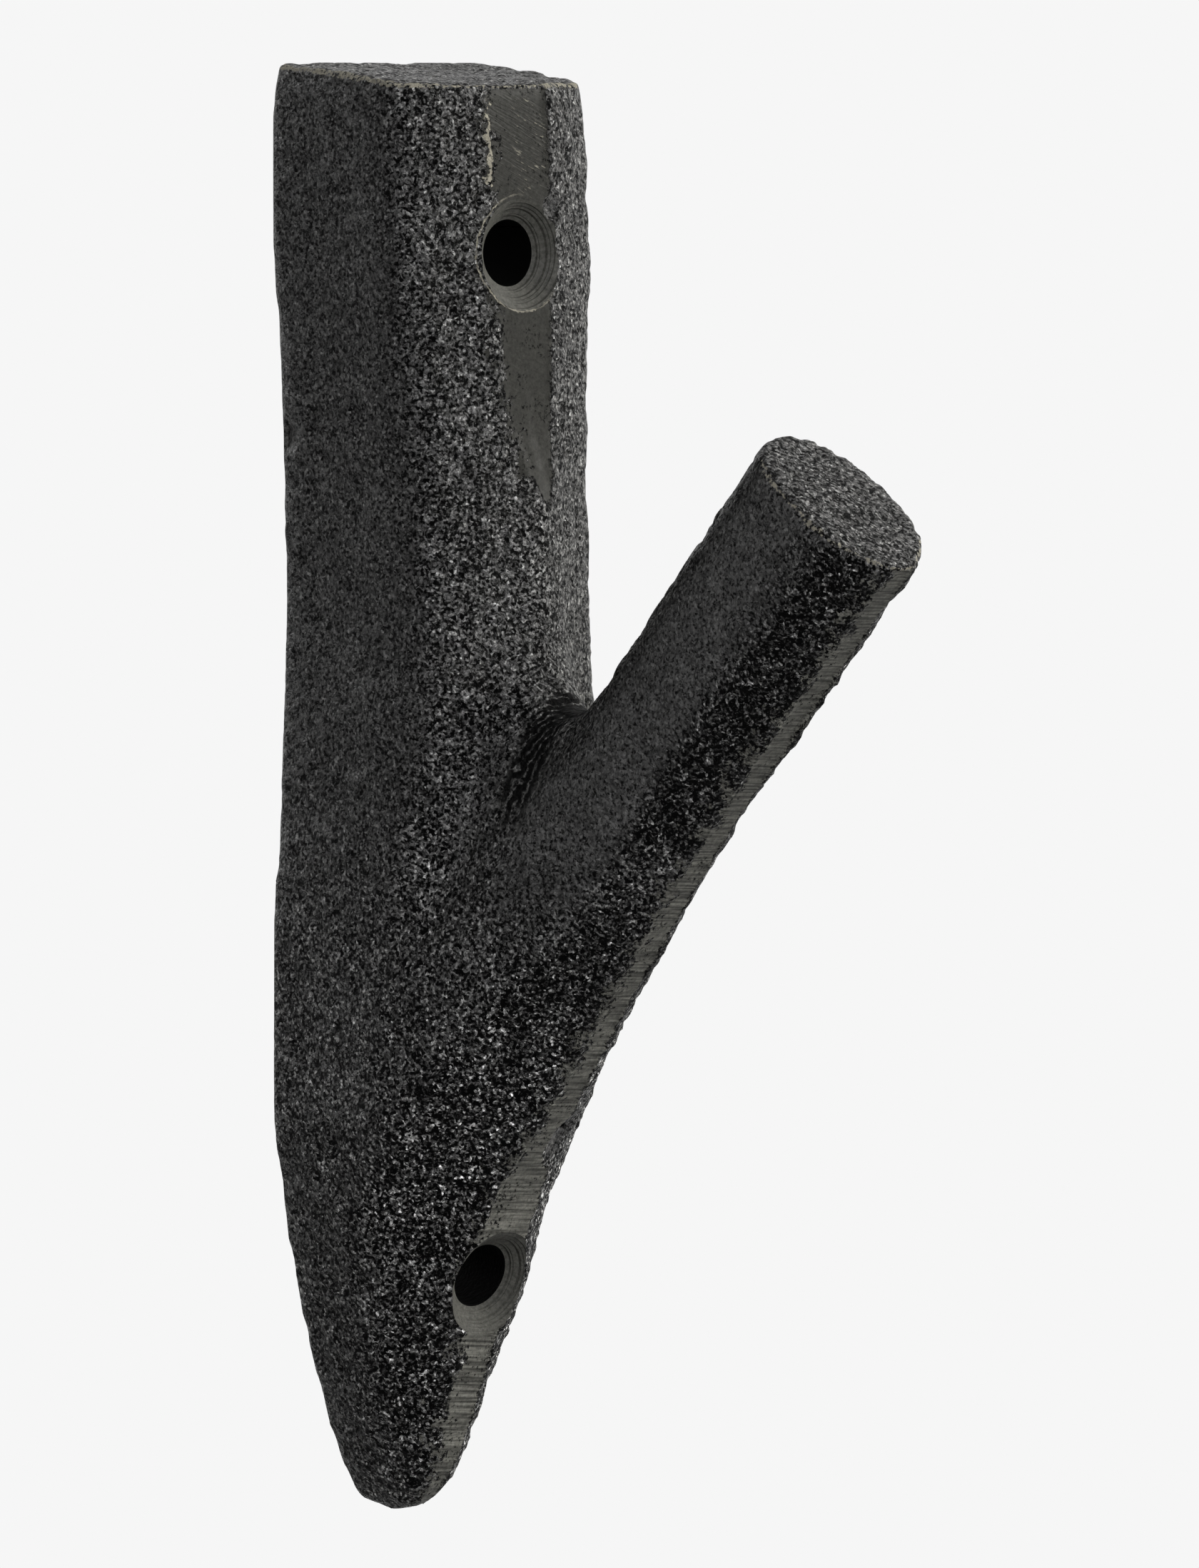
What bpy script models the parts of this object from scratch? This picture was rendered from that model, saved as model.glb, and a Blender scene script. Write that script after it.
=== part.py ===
"""Cast-iron wall hook in the form of a sawn branch, as one casting.

A flat-backed stem lies on the wall and tapers to a point at its foot. A twig stub stands out of its
front as the peg. Two countersunk screw holes go through the stem, one near the top and one near the foot.

Metres, +Z up. The wall is the plane Y = 0 and the front looks along -Y. X = 0 is the parting plane of the
two-part mould. The origin is on the wall, midway between the two screws.
"""

import math

import bmesh
import bpy
from mathutils import Matrix, Vector

# Stem: a house-shaped section, with two straight sides and a low ridge at the parting line.
SCREW_SPACING = 0.0925
SCREW_TO_TOP = 0.0170
SCREW_TO_TIP = 0.0229
STEM_WIDTH = 0.0247
WAIST_CUT = 0.0034
WAIST_Z = 0.0165
WAIST_SPAN = 0.0220
TOP_DRAW = 0.0006
TOP_DRAW_LENGTH = 0.0110
TOP_CUT_TILT = math.radians(6.2)
RIDGE_DEPTH = 0.0198
RIDGE_LEAN = math.radians(2.2)
RIDGE_PITCH_TOP = math.radians(22.0)
RIDGE_PITCH_FOOT = math.radians(44.0)
RIDGE_PITCH_TOP_Z = 0.0100
RIDGE_PITCH_FOOT_Z = -0.0370
RIDGE_WIDTH_TOP = 0.0074
RIDGE_WIDTH_TIP = 0.0024
SCREW_LAND = 0.0040
SCREW_LAND_SPAN = 0.0070

# Nose: the taper of the stem to its rounded point, seen from the front and from the side.
NOSE_LENGTH = 0.0400
NOSE_FULLNESS = 1.45
NOSE_BLUNTNESS = 0.72
NOSE_TIP_RADIUS = 0.0085
NOSE_TIP_SHARE = 0.40
FRONT_SLOPE = math.radians(19.0)
FRONT_SLOPE_GROWTH = 8.0
LOWER_SCREW_DEPTH = 0.0167

# Peg: a bent twig stub that leans out of the stem, eight-sided and as wide as the stem at its root.
PEG_REACH = 0.0609
PEG_END_Z = 0.0248
PEG_END_LEAN = math.radians(45.5)
PEG_ROOT_LEAN = math.radians(37.5)
PEG_CUT_LEAN = math.radians(37.0)
PEG_WIDTH = 0.0127
PEG_HEIGHT = 0.0190
PEG_BACK_TAPER = 0.0026
PEG_RIDGE_WIDTH = 0.0026
PEG_BACK_CHAMFER = 0.0042
PEG_ROOT_LENGTH = 0.0780
PEG_ROOT_DROP = 0.0026
PEG_ROOT_POWER = 3.0
PEG_FILLET_REACH = 0.0240
PEG_FILLET_POWER = 2.4
PEG_FILLET_RISE = 0.45

# Crotch: the round web in the V between stem and peg. It is highest at the parting line and falls to both sides.
CROTCH_RADIUS = 0.0063
CROTCH_Z = 0.0121
CROTCH_HALF_WIDTH = 0.0075
CROTCH_DROP = 0.0125
CROTCH_DROP_POWER = 3.0
CROTCH_TURN = math.radians(115.0)
CROTCH_TURN_LOSS = math.radians(25.0)
CROTCH_RUNOUT = 0.0080
CROTCH_RUNOUT_WIDTH = 0.0065
CROTCH_ARC_STEPS = 8
CROTCH_ROOT = 0.0140

# Screw holes: drilled and countersunk square to the front face at each place.
SCREW_BORE = 0.0060
COUNTERSINK = 0.0104
COUNTERSINK_ANGLE = math.radians(90.0)

# Casting: stock that is ground or sawn off, and how softly one form runs into the next.
WALL_STOCK = 0.0015
SAWN_STOCK = 0.0100
BLEND_GRID = 0.0017
BLEND_PASSES = 6
STATION_STEP = 0.0020
TIP_FLAT = 0.0012
HOLE_SIDES = 32
CUT_MARGIN = 0.0200
PEG_SAW_BLADE = 0.0400

UPPER_SCREW_Z = SCREW_SPACING / 2
LOWER_SCREW_Z = -SCREW_SPACING / 2
TOP_Z = UPPER_SCREW_Z + SCREW_TO_TOP
TIP_Z = LOWER_SCREW_Z - SCREW_TO_TIP


def clear_scene():
    for obj in list(bpy.data.objects):
        bpy.data.objects.remove(obj, do_unlink=True)


def new_collection(name, hidden=False):
    collection = bpy.data.collections.new(name)
    bpy.context.scene.collection.children.link(collection)
    collection.hide_render = hidden
    return collection


def add_object(name, mesh, collection):
    obj = bpy.data.objects.new(name, mesh)
    collection.objects.link(obj)
    return obj


def loft(name, rings):
    """A closed mesh skinned over rings of points, each with the same number of points."""
    bm = bmesh.new()
    loops = []
    for ring in rings:
        verts = [bm.verts.new(point) for point in ring]
        loops.append([bm.edges.new((a, b)) for a, b in zip(verts, verts[1:] + verts[:1])])
    for lower, upper in zip(loops, loops[1:]):
        bmesh.ops.bridge_loops(bm, edges=lower + upper)
    for loop in (loops[0], loops[-1]):
        bmesh.ops.contextual_create(bm, geom=loop)
    bmesh.ops.recalc_face_normals(bm, faces=bm.faces)
    mesh = bpy.data.meshes.new(name)
    bm.to_mesh(mesh)
    bm.free()
    return mesh


def stations(start, end, step):
    """Evenly spaced places from start to end, about step apart."""
    count = max(2, round(abs(end - start) / step))
    return [start + (end - start) * i / count for i in range(count + 1)]


def nose_share(z):
    """0 above the nose, rising to 1 at the tip."""
    return min(1.0, max(0.0, (TIP_Z + NOSE_LENGTH - z) / NOSE_LENGTH))


def stem_half_width(z):
    """Half the width: drawn in at the top and the waist, and tapering to the point over the nose."""
    waist = WAIST_CUT / 2 * math.exp(-((z - WAIST_Z) / WAIST_SPAN) ** 2)
    taper = (1.0 - nose_share(z) ** NOSE_FULLNESS) ** NOSE_BLUNTNESS
    return (STEM_WIDTH / 2 - waist - top_draw(z)) * taper


def top_draw(z):
    """How far the stem draws in, all round, near its sawn top."""
    into = max(0.0, (z - TOP_Z) / TOP_DRAW_LENGTH + 1.0)
    return TOP_DRAW * into * into


def ridge_depth(z):
    """Depth of the front ridge from the wall. Below the peg's root it slopes back to the tip."""
    above = RIDGE_DEPTH + math.tan(RIDGE_LEAN) * (TOP_Z - z) - top_draw(z)
    up = z - LOWER_SCREW_Z
    below = LOWER_SCREW_DEPTH + math.tan(FRONT_SLOPE) * up + FRONT_SLOPE_GROWTH * max(0.0, up) ** 2
    return min(above, below)


def ridge_pitch(z):
    """Slope of the two faces that rise to the ridge, steeper below the peg's root than above it."""
    down = (RIDGE_PITCH_TOP_Z - z) / (RIDGE_PITCH_TOP_Z - RIDGE_PITCH_FOOT_Z)
    down = min(1.0, max(0.0, down))
    return RIDGE_PITCH_TOP + (RIDGE_PITCH_FOOT - RIDGE_PITCH_TOP) * down * down * (3.0 - 2.0 * down)


def tip_share(z):
    """Share of the depth that is left where the tip rounds off, in side view."""
    into = min(1.0, max(0.0, (TIP_Z + NOSE_TIP_RADIUS - z) / NOSE_TIP_RADIUS))
    return math.sqrt(1.0 - into * into)


def ridge_half_width(z):
    """Half the width of the ridge's flat, with a land for the head of the lower screw."""
    along = (z - TIP_Z) / (TOP_Z - TIP_Z)
    land = SCREW_LAND * math.exp(-((z - LOWER_SCREW_Z) / SCREW_LAND_SPAN) ** 2)
    return (RIDGE_WIDTH_TIP + (RIDGE_WIDTH_TOP - RIDGE_WIDTH_TIP) * along + land) / 2


def stem_side_depth(z):
    """Depth of the straight sides from the wall, up to where the faces rise to the ridge."""
    rise = math.tan(ridge_pitch(z)) * (stem_half_width(z) - ridge_half_width(z))
    return ridge_depth(z) - max(0.0, rise)


def stem_ring(z):
    half = stem_half_width(z)
    ridge = min(ridge_half_width(z), half / 2)
    middle = ridge_depth(z) * NOSE_TIP_SHARE
    left = tip_share(z)
    depths = (-WALL_STOCK, stem_side_depth(z), ridge_depth(z))
    back, side, front = (middle + (depth - middle) * left for depth in depths)
    right_side = [(half, -back), (half, -side), (ridge, -front)]
    left_side = [(-x, y) for x, y in reversed(right_side)]
    return [(x, y, z) for x, y in right_side + left_side]


def build_stem():
    heights = stations(TIP_Z + TIP_FLAT, TOP_Z + SAWN_STOCK, STATION_STEP)
    return loft("stem", [stem_ring(z) for z in heights])


def peg_axis(back):
    """(centre, outward direction) of the bent peg at a distance back from its end."""
    bend = (PEG_END_LEAN - PEG_ROOT_LEAN) / PEG_ROOT_LENGTH
    lean = PEG_END_LEAN - bend * back
    y = -PEG_REACH + (math.cos(lean) - math.cos(PEG_END_LEAN)) / bend
    z = PEG_END_Z - (math.sin(PEG_END_LEAN) - math.sin(lean)) / bend
    return Vector((0.0, y, z)), Vector((0.0, -math.sin(lean), math.cos(lean)))


def root_widening(depth, z):
    """Extra half width of the peg near the stem, where it runs out into the stem's sides."""
    near = 1.0 - (depth - stem_side_depth(0.0)) / PEG_FILLET_REACH
    full = max(0.0, stem_half_width(z) - PEG_WIDTH / 2)
    return full * min(1.0, max(0.0, near)) ** PEG_FILLET_POWER


def peg_ring(back):
    """The peg's eight-sided section at a distance back from its end."""
    centre, out = peg_axis(back)
    across = Vector((1.0, 0.0, 0.0))
    upward = out.cross(across)
    share = max(0.0, back) / PEG_ROOT_LENGTH
    over = PEG_HEIGHT / 2 - PEG_BACK_TAPER * share
    under = PEG_HEIGHT / 2 + PEG_ROOT_DROP * share ** PEG_ROOT_POWER
    half_w = PEG_WIDTH / 2
    ridge = PEG_RIDGE_WIDTH / 2
    corners = [
        (half_w - PEG_BACK_CHAMFER, over),
        (half_w, over - PEG_BACK_CHAMFER),
        (half_w, -under + (half_w - ridge)),
        (ridge, -under),
    ]
    right_side = []
    for u, v in corners:
        point = centre + upward * v
        wider = root_widening(-point.y, point.z) if u > ridge else 0.0
        lift = PEG_FILLET_RISE * wider if v < 0.0 else 0.0
        right_side.append(point + across * (u + wider) + upward * lift)
    left_side = [Vector((-point.x, point.y, point.z)) for point in reversed(right_side)]
    return right_side + left_side


def build_peg():
    places = stations(-SAWN_STOCK, PEG_ROOT_LENGTH, STATION_STEP)
    return loft("peg", [peg_ring(back) for back in places])


def crotch_ring(x):
    """Section of the crotch web at a distance x from the parting line, with its root inside stem and peg."""
    share = abs(x) / CROTCH_HALF_WIDTH
    z = CROTCH_Z - CROTCH_DROP * share ** CROTCH_DROP_POWER
    set_back = math.tan(RIDGE_PITCH_TOP) * max(0.0, abs(x) - ridge_half_width(CROTCH_Z))
    front = set_back - ridge_depth(CROTCH_Z)
    turn = CROTCH_TURN - CROTCH_TURN_LOSS * share ** 2
    runout = CROTCH_RUNOUT * max(0.0, 1.0 - (x / CROTCH_RUNOUT_WIDTH) ** 2)
    middle = front - CROTCH_RADIUS
    angles = [turn * i / CROTCH_ARC_STEPS for i in range(CROTCH_ARC_STEPS + 1)]
    arc = [(middle + CROTCH_RADIUS * math.cos(a), z - CROTCH_RADIUS * math.sin(a)) for a in angles]
    end_y, end_z = arc[-1]
    out = (end_y - runout * math.sin(turn), end_z - runout * math.cos(turn))
    root = (front + CROTCH_RADIUS, z - CROTCH_ROOT)
    outline = [(front + CROTCH_RADIUS, z)] + arc + [out, (out[0], out[1] - CROTCH_RADIUS), root]
    return [(x, y, height) for y, height in outline]


def build_crotch():
    places = stations(-CROTCH_HALF_WIDTH, CROTCH_HALF_WIDTH, STATION_STEP / 2)
    return loft("crotch", [crotch_ring(x) for x in places])


def build_hole_cutter(name):
    """Drill and countersink as one turned cutter, its tip at the origin of the front face, cutting along -Z."""
    bore = SCREW_BORE / 2
    sink = COUNTERSINK / 2
    sink_depth = (sink - bore) / math.tan(COUNTERSINK_ANGLE / 2)
    reach = 2 * RIDGE_DEPTH + CUT_MARGIN
    flare = sink + CUT_MARGIN * math.tan(COUNTERSINK_ANGLE / 2)
    profile = [(0.0, CUT_MARGIN), (flare, CUT_MARGIN), (bore, -sink_depth), (bore, -reach), (0.0, -reach)]
    bm = bmesh.new()
    verts = [bm.verts.new((r, 0.0, z)) for r, z in profile]
    edges = [bm.edges.new(pair) for pair in zip(verts, verts[1:])]
    bmesh.ops.spin(bm, geom=verts + edges, cent=(0, 0, 0), axis=(0, 0, 1), angle=math.tau,
                   steps=HOLE_SIDES, use_merge=True)
    bmesh.ops.remove_doubles(bm, verts=bm.verts, dist=1e-6)
    bmesh.ops.recalc_face_normals(bm, faces=bm.faces)
    mesh = bpy.data.meshes.new(name)
    bm.to_mesh(mesh)
    bm.free()
    return mesh


def block(name, depth):
    """A block whose face is the plane Z = 0 and whose body lies above it."""
    bm = bmesh.new()
    bmesh.ops.create_cube(bm, size=1.0)
    bmesh.ops.translate(bm, verts=bm.verts, vec=(0.0, 0.0, 0.5))
    bmesh.ops.scale(bm, verts=bm.verts, vec=(depth, depth, depth))
    mesh = bpy.data.meshes.new(name)
    bm.to_mesh(mesh)
    bm.free()
    return mesh


def facing(point, normal):
    """Placement of a cutter at a point, with its +Z along a normal."""
    turn = Vector(normal).to_track_quat("Z", "Y").to_matrix().to_4x4()
    return Matrix.Translation(point) @ turn


def add_boolean(obj, name, other, operation):
    modifier = obj.modifiers.new(name, "BOOLEAN")
    modifier.operation = operation
    modifier.object = other
    modifier.solver = "EXACT"


def add_cutter(name, mesh, placement, collection):
    cutter = add_object(name, mesh, collection)
    cutter.matrix_world = placement
    cutter.hide_render = True
    cutter.display_type = "WIRE"
    return cutter


def paint_material():
    material = bpy.data.materials.new("black_painted_iron")
    material.use_nodes = True
    shader = material.node_tree.nodes["Principled BSDF"]
    shader.inputs["Base Color"].default_value = (0.030, 0.029, 0.028, 1.0)
    shader.inputs["Roughness"].default_value = 0.45
    shader.inputs["Metallic"].default_value = 0.0
    return material


def main():
    clear_scene()
    parts = new_collection("branch_wall_hook")
    cutters = new_collection("cutters", hidden=True)
    hook = add_object("hook_casting", build_stem(), parts)
    hook.data.materials.append(paint_material())
    peg = add_cutter("peg_form", build_peg(), Matrix.Identity(4), cutters)
    add_boolean(hook, "join_peg", peg, "UNION")
    crotch = add_cutter("crotch_form", build_crotch(), Matrix.Identity(4), cutters)
    add_boolean(hook, "join_crotch", crotch, "UNION")

    remesh = hook.modifiers.new("blend_grid", "REMESH")
    remesh.mode = "VOXEL"
    remesh.voxel_size = BLEND_GRID
    smooth = hook.modifiers.new("blend", "SMOOTH")
    smooth.factor = 0.5
    smooth.iterations = BLEND_PASSES

    size = 4 * (TOP_Z - TIP_Z)
    end, _ = peg_axis(0.0)
    peg_normal = (0.0, -math.sin(PEG_CUT_LEAN), math.cos(PEG_CUT_LEAN))
    top_normal = (0.0, -math.sin(TOP_CUT_TILT), math.cos(TOP_CUT_TILT))
    slope_normal = (0.0, -math.cos(FRONT_SLOPE), -math.sin(FRONT_SLOPE))
    cuts = (
        ("wall_grind", block("wall_grind", size), facing((0, 0, 0), (0, 1, 0))),
        ("top_saw", block("top_saw", size), facing((0, 0, TOP_Z), top_normal)),
        ("peg_saw", block("peg_saw", PEG_SAW_BLADE), facing(end, peg_normal)),
        ("upper_screw", build_hole_cutter("upper_screw"),
         facing((0, -ridge_depth(UPPER_SCREW_Z), UPPER_SCREW_Z), (0, -1, 0))),
        ("lower_screw", build_hole_cutter("lower_screw"),
         facing((0, -ridge_depth(LOWER_SCREW_Z), LOWER_SCREW_Z), slope_normal)),
    )
    for name, mesh, placement in cuts:
        add_boolean(hook, name, add_cutter(name, mesh, placement, cutters), "DIFFERENCE")


main()
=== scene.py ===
"""Branch wall hook: the finished look of the one cast-iron piece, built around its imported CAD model.

The casting starts as a copy of the CAD node. It gets a finer mesh, the swells and grain that the sand of the
mould leaves, the seam that was ground flat down its front, the ridge where that seam runs out, two turned
screw holes, and black paint.
Metres, +Z up. The wall is the plane Y = 0, and X = 0 is the parting plane of the mould.
"""

import math
from types import SimpleNamespace

import bmesh
import bpy
from bpy.props import FloatProperty, FloatVectorProperty, IntProperty, PointerProperty
from bpy.types import Operator, Panel, PropertyGroup
from mathutils import Matrix, Vector, noise
from mathutils.bvhtree import BVHTree


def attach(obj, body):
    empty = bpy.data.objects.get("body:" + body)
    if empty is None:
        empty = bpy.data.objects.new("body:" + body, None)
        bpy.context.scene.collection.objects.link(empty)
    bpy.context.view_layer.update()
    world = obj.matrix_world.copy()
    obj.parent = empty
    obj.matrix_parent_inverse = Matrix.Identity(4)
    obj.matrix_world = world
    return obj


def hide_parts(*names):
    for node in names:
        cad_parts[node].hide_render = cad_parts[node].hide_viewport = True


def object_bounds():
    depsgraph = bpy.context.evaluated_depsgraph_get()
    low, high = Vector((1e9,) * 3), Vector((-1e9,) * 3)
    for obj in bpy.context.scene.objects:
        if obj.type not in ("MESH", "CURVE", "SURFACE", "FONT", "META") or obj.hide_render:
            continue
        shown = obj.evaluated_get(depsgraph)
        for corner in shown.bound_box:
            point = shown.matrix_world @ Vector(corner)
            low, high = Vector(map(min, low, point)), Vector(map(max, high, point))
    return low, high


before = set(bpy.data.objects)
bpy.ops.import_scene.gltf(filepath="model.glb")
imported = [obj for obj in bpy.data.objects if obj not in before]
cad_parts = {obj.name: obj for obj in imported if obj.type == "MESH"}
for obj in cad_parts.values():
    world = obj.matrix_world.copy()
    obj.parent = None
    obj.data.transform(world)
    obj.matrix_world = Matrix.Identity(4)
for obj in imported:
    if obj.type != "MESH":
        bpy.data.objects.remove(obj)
CAD_BOX = [list(corner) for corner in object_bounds()]

bl_info = {
    "name": "Branch Wall Hook",
    "version": (1, 0, 0),
    "blender": (4, 5, 0),
    "location": "3D View > Sidebar > Wall Hook",
    "description": "Sand-cast skin, ground seam, turned screw holes and paint for the branch wall hook",
    "category": "Object",
}

CASTING_NODE = "hook_casting"
MM = 0.001


# Settings


class CastingSettings(PropertyGroup):
    """Sizes of the casting's skin, seam and screw holes."""

    grid: FloatProperty(
        name="Grid", description="Spacing of the mesh that carries the cast skin",
        default=0.42 * MM, min=0.30 * MM, max=2.0 * MM, unit="LENGTH", precision=5)
    ease_passes: IntProperty(
        name="Easing", description="Smoothing passes that round the saw-cut corners off",
        default=5, min=0, max=60)
    swell_height: FloatProperty(
        name="Swell Height", description="Height of the broad swells in the cast faces",
        default=0.34 * MM, unit="LENGTH", precision=5)
    swell_size: FloatProperty(
        name="Swell Size", description="Length of the broad swells",
        default=8.5 * MM, unit="LENGTH", precision=4)
    lump_height: FloatProperty(
        name="Lump Height", description="Height of the small lumps in the cast faces",
        default=0.16 * MM, unit="LENGTH", precision=5)
    lump_size: FloatProperty(
        name="Lump Size", description="Length of the small lumps",
        default=2.8 * MM, unit="LENGTH", precision=4)
    grain_height: FloatProperty(
        name="Grain Height", description="Height of the print of the moulding sand",
        default=0.30 * MM, unit="LENGTH", precision=5)
    grain_size: FloatProperty(
        name="Grain Size", description="Length of the print of the moulding sand",
        default=1.30 * MM, unit="LENGTH", precision=4)
    coat: FloatProperty(
        name="Coat", description="Thickness of the paint over the plain form",
        default=0.12 * MM, unit="LENGTH", precision=5)
    crotch_depth: FloatProperty(
        name="Crotch Depth", description="Depth of the hollow where the peg leaves the stem",
        default=0.45 * MM, unit="LENGTH", precision=4)
    ridge_height: FloatProperty(
        name="Ridge Height",
        description="Height of the ridge down the front between the ground seam and the peg",
        default=0.80 * MM, unit="LENGTH", precision=4)
    seam_top: FloatProperty(
        name="Seam at Top", description="Half width of the ground seam round the upper screw",
        default=3.6 * MM, unit="LENGTH", precision=4)
    seam_peg: FloatProperty(
        name="Seam under Peg", description="Half width of the ground seam under the peg",
        default=1.35 * MM, unit="LENGTH", precision=4)
    seam_foot: FloatProperty(
        name="Seam at Foot", description="Half width of the ground seam round the lower screw",
        default=2.9 * MM, unit="LENGTH", precision=4)
    bore: FloatProperty(
        name="Screw Bore", description="Diameter of the screw holes",
        default=6.0 * MM, unit="LENGTH", precision=4)
    countersink: FloatProperty(
        name="Countersink", description="Diameter of the countersinks at the face",
        default=10.4 * MM, unit="LENGTH", precision=4)
    rings: IntProperty(
        name="Tool Rings", description="Number of rings that the cutter left in each countersink",
        default=7, min=1, max=20)


class PaintSettings(PropertyGroup):
    """Colours of the paint and of what shows through it."""

    paint: FloatVectorProperty(
        name="Paint", description="Colour of the black paint on the cast faces",
        subtype="COLOR", size=3, min=0.0, max=1.0, default=(0.079, 0.0783, 0.0758))
    # Painted shade: this black goes into the pits, the crotch and the bores.
    painted_shade_colour: FloatVectorProperty(
        name="Painted Shade", description="Colour of the paint where it lies thick in the pits",
        subtype="COLOR", size=3, min=0.0, max=1.0, default=(0.003, 0.003, 0.003))
    ground: FloatVectorProperty(
        name="Ground Seam", description="Colour of the thin paint on the ground seam",
        subtype="COLOR", size=3, min=0.0, max=1.0, default=(0.0425, 0.042, 0.037))
    # Also the colour of the painted highlight round the upper countersink's rim.
    chip_and_highlight_colour: FloatVectorProperty(
        name="Chips", description="Colour of the dull metal and scale where the paint has chipped",
        subtype="COLOR", size=3, min=0.0, max=1.0, default=(0.50, 0.47, 0.38))


class StageSettings(PropertyGroup):
    """Camera, lamps and floor."""

    azimuth: FloatProperty(
        name="Azimuth", description="Angle of the camera round the hook, from straight in front",
        subtype="ANGLE", default=math.radians(-43.96))
    elevation: FloatProperty(
        name="Elevation", description="Height angle of the camera",
        subtype="ANGLE", default=math.radians(2.84))
    distance: FloatProperty(
        name="Distance", description="Camera to the point it looks at", unit="LENGTH", default=1.228)
    aim: FloatVectorProperty(
        name="Aim", description="Point the camera looks at", subtype="XYZ", size=3,
        default=(0.0, -0.0301, -0.0008))
    view_height: FloatProperty(
        name="View Height", description="Height of the picture at the aim point",
        unit="LENGTH", default=0.1393)
    background: FloatProperty(
        name="Background", description="Brightness of the white behind the hook",
        min=0.0, max=1.0, default=0.922)
    floor_drop: FloatProperty(
        name="Floor Drop", description="Depth of the floor below the middle of the hook",
        unit="LENGTH", default=0.55)


# Helpers for meshes


def object_from(bm, name):
    mesh = bpy.data.meshes.new(name)
    bm.to_mesh(mesh)
    bm.free()
    obj = bpy.data.objects.new(name, mesh)
    bpy.context.scene.collection.objects.link(obj)
    return obj


def applied(obj):
    """Swaps an object's mesh for the one that its modifiers make, and drops the modifiers."""
    bpy.context.view_layer.update()
    result = obj.evaluated_get(bpy.context.evaluated_depsgraph_get())
    mesh = bpy.data.meshes.new_from_object(result)
    obj.modifiers.clear()
    obj.data = mesh


def remove(obj):
    mesh = obj.data
    bpy.data.objects.remove(obj)
    bpy.data.meshes.remove(mesh)


def ramp(value, low, high):
    """0 below low, 1 above high, with a smooth run between them."""
    t = min(1.0, max(0.0, (value - low) / (high - low)))
    return t * t * (3.0 - 2.0 * t)


def along(value, *points):
    """Straight runs between (place, height) points, which go down in place."""
    if value >= points[0][0]:
        return points[0][1]
    for (a, at_a), (b, at_b) in zip(points, points[1:]):
        if value >= b:
            return at_a + (at_b - at_a) * (a - value) / (a - b)
    return points[-1][1]


# The casting

GRID_WELD = 1e-6
DRILL_DEPTH = 60.0 * MM
CUTTER_OVERRUN = 3.0 * MM
OFF_SEAM = -5.0 * MM
# The peg leaves the stem in front of this line, and the upper strip stays above the crotch.
PEG_ROOT_Y = -30.0 * MM
UPPER_STRIP_Z = 10.0 * MM
RIDGE_X = 0.8 * MM
RIDGE_HALF_WIDTH = 4.2 * MM
FOOT_SLOPE = math.radians(19.0)
SCREWS = (
    (Vector((0.0, -20.45, 46.25)) * MM, Vector((0.0, -1.0, 0.0))),
    (
        Vector((0.0, -16.7, -46.25)) * MM,
        Vector((0.0, -math.cos(FOOT_SLOPE), -math.sin(FOOT_SLOPE))),
    ),
)
# The hollow at the root of the peg runs from the middle of the crotch down to each side.
CROTCH = Vector((0.0, -27.8, 6.0)) * MM
CROTCH_SIDE = Vector((7.0, -26.0, -3.0)) * MM
# Low spots: middle, reach in X, Y and Z, depth.
DENTS = (
    (Vector((2.3, -22.6, -33.0)) * MM, Vector((1.9, 3.0, 3.4)) * MM, 0.9 * MM),
    (Vector((-11.4, -0.8, 29.8)) * MM, Vector((2.5, 2.5, 2.0)) * MM, 0.7 * MM),
    (Vector((3.9, -20.4, 50.2)) * MM, Vector((1.3, 1.5, 1.5)) * MM, 0.8 * MM),
)


def from_screw(co, front, out):
    """Distance from a screw hole's axis."""
    arm = co - front
    return (arm - out * arm.dot(out)).length


def in_screw_hole(face, settings):
    """True for a face that looks at the axis of a screw hole from close by."""
    centre = face.calc_center_median()
    for front, out in SCREWS:
        arm = centre - front
        arm -= out * arm.dot(out)
        if 0.0 < arm.length < settings.countersink / 2 + 0.5 * MM:
            if face.normal.dot(arm.normalized()) < -0.3:
                return True
    return False


def plain_casting(settings):
    """The CAD node with its screw holes closed, on a fine even mesh."""
    bm = bmesh.new()
    bm.from_mesh(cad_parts[CASTING_NODE].data)
    bmesh.ops.remove_doubles(bm, verts=bm.verts, dist=GRID_WELD)
    bm.normal_update()
    holes = [face for face in bm.faces if in_screw_hole(face, settings)]
    if not holes:
        raise RuntimeError("the CAD node has no screw holes where they should be")
    bmesh.ops.delete(bm, geom=holes, context="FACES")
    rims = [edge for edge in bm.edges if edge.is_boundary]
    bmesh.ops.holes_fill(bm, edges=rims, sides=0)
    bmesh.ops.triangulate(bm, faces=[face for face in bm.faces if len(face.verts) > 4])
    bmesh.ops.recalc_face_normals(bm, faces=bm.faces)
    casting = object_from(bm, "hook_body")
    remesh = casting.modifiers.new("fine_grid", "REMESH")
    remesh.mode = "VOXEL"
    remesh.voxel_size = settings.grid
    applied(casting)
    return casting


def ease(bm, passes):
    for _ in range(passes):
        bmesh.ops.smooth_vert(
            bm, verts=bm.verts, factor=0.5, use_axis_x=True, use_axis_y=True, use_axis_z=True)
    bm.normal_update()


def note_corners(bm):
    """Keeps how sharply each vertex stands out, where paint chips first."""
    corner = bm.verts.layers.float.new("corner")
    for vert in bm.verts:
        ring = [edge.other_vert(vert).co for edge in vert.link_edges]
        middle = sum(ring, Vector()) / len(ring)
        vert[corner] = max(0.0, (vert.co - middle).dot(vert.normal)) / (0.05 * MM)


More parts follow.
